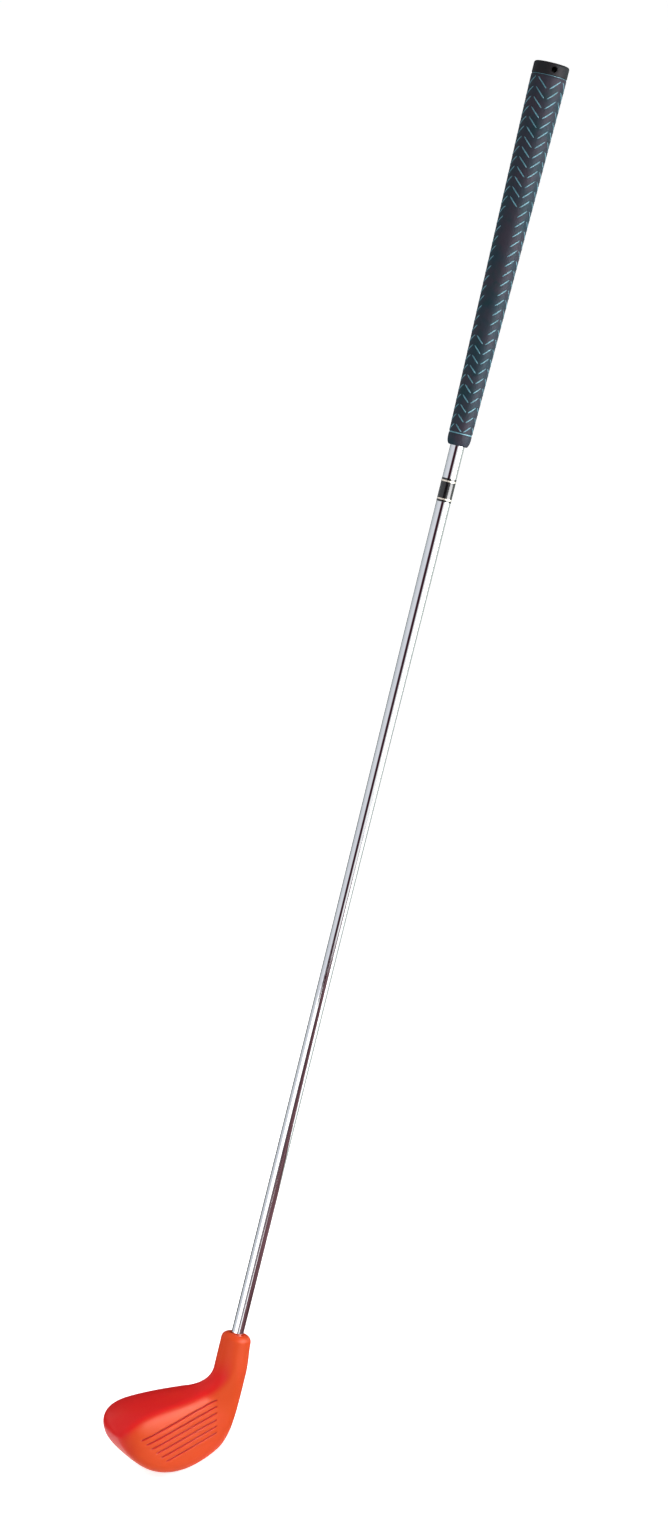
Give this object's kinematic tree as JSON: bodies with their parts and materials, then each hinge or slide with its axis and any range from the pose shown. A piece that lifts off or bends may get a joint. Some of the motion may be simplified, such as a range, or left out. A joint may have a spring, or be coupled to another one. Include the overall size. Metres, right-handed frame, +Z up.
{
  "type": "golf swing trainer stick",
  "caption": "Golf swing trainer stick: orange moulded wood-style head with score lines, slim chrome tube shaft with a dark band, and a black rubber grip with herringbone dashes.",
  "frame": {"origin": "on the flat under the sole, in the plane that holds the shaft's axis", "axes": "+X from toe to heel, +Y from the face to the back of the head, +Z up; the club is at address with its shaft at 59 degrees to the ground"},
  "size_m": [0.581, 0.0699, 0.8513],
  "materials": {
    "head_plastic": "satin moulded",
    "slug_steel": "bare",
    "adhesive": "cured",
    "shaft_chrome": "polished",
    "plug_rubber": "matt",
    "band_film": "glossy film with gold lines",
    "tape_paper": "matt",
    "grip_rubber": "moulded with herringbone dashes",
    "cap_rubber": "moulded"
  },
  "bodies": {
    "root": {"head_shell": "head_plastic", "head_weight": "slug_steel", "bond_sleeve": "adhesive", "shaft": "shaft_chrome", "tip_plug": "plug_rubber", "shaft_band": "band_film", "grip_tape": "tape_paper", "grip_sleeve": "grip_rubber", "grip_cap": "cap_rubber"}
  },
  "joints": []
}
